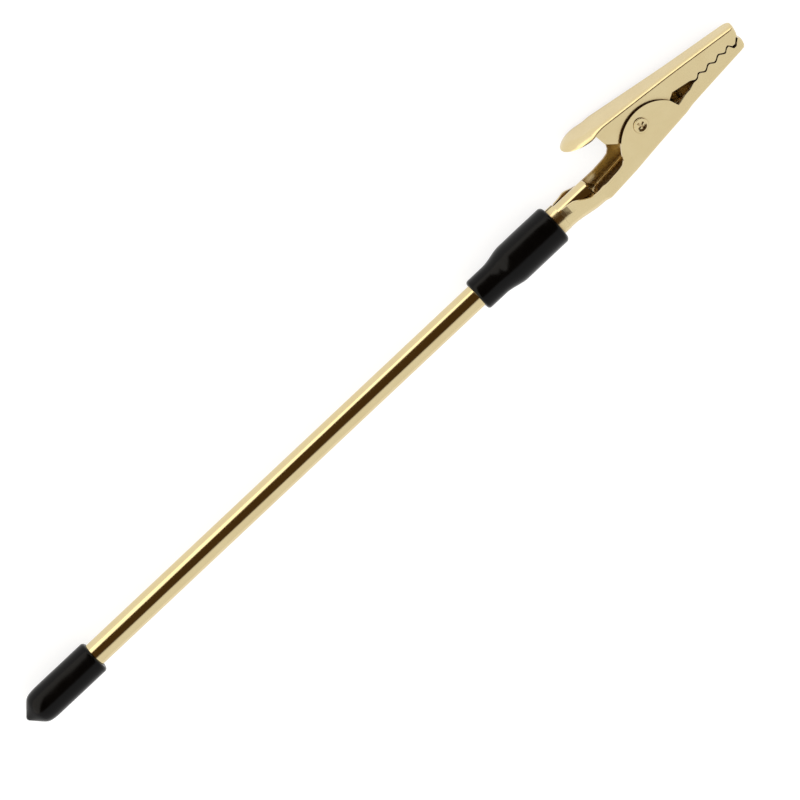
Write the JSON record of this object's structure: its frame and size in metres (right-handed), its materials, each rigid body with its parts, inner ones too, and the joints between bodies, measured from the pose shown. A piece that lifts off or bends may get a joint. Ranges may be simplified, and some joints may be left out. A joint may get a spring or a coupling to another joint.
{
  "type": "alligator clip rod",
  "caption": "Sprung alligator clip crimped on a straight metal rod, with a vinyl sleeve at the joint and a vinyl cap on the end.",
  "frame": {"origin": "on the rod's axis, at the tip of the end cap", "axes": "+X along the rod towards the jaw tips, +Y towards the side with the thumb lever, +Z parallel to the pivot rivet, towards its staked end"},
  "size_m": [0.1549, 0.0124, 0.008],
  "materials": {
    "plated_rod": "bright pale-gold plating on steel, polished",
    "plated_sheet": "satin pale-gold plating on sheet steel",
    "black_vinyl": "dipped soft vinyl, semi-gloss black",
    "spring_wire": "bright spring-steel wire"
  },
  "bodies": {
    "clip_base": {"rod": "plated_rod", "end_cap": "black_vinyl", "joint_sleeve": "black_vinyl", "lower_jaw": "plated_sheet", "pivot_rivet": "plated_sheet", "torsion_spring": "spring_wire"},
    "lever": {"upper_jaw": "plated_sheet"}
  },
  "joints": [
    {"name": "jaw_hinge", "type": "hinge", "parent": "clip_base", "child": "lever", "pos_m": [0.1336, 0.00362, 0], "axis": [0, 0, 1], "range_deg": [0, 25], "stiffness_Nm_per_rad": 0.08, "springref_deg": -40.11, "deforming": ["torsion_spring"]}
  ]
}
